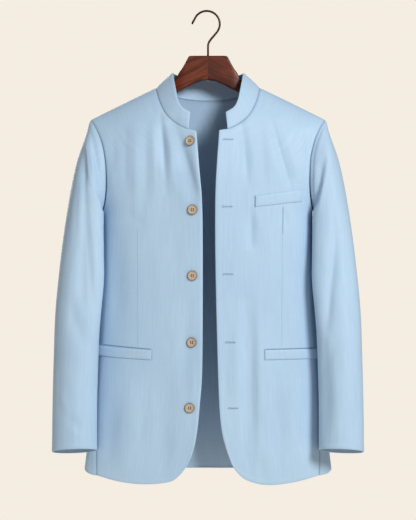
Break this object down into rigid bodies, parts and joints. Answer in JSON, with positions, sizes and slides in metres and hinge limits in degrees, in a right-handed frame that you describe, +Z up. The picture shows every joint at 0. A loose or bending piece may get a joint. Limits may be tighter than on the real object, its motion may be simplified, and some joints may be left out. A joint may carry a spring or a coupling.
{
  "type": "mandarin collar jacket on hanger",
  "caption": "Light blue stand collar jacket with long sleeves, welt pockets and a buttoned front, hanging open on a wooden hanger with a wire hook.",
  "frame": {"origin": "underside of the crown of the hanger's hook, where a rod carries it", "axes": "+Z up; the jacket faces -Y, so the wearer's left is +X; a rod would run along Y"},
  "size_m": [0.6052, 0.1471, 0.9301],
  "materials": {
    "cloth": "pale sky blue, fine smooth weave with a faint sheen",
    "button": "grey beige horn look, soft gloss",
    "hanger": "dark reddish walnut, satin lacquer",
    "hook": "dark bronze wire, soft gloss"
  },
  "bodies": {
    "root": {"front_right": "cloth", "front_left": "cloth", "back": "cloth", "sleeve_right": "cloth", "sleeve_left": "cloth", "collar": "cloth", "chest_welt": "cloth", "hip_welt_right": "cloth", "hip_welt_left": "cloth", "button_1": "button", "button_2": "button", "button_3": "button", "button_4": "button", "button_5": "button", "hanger": "hanger", "hook": "hook"}
  },
  "joints": []
}
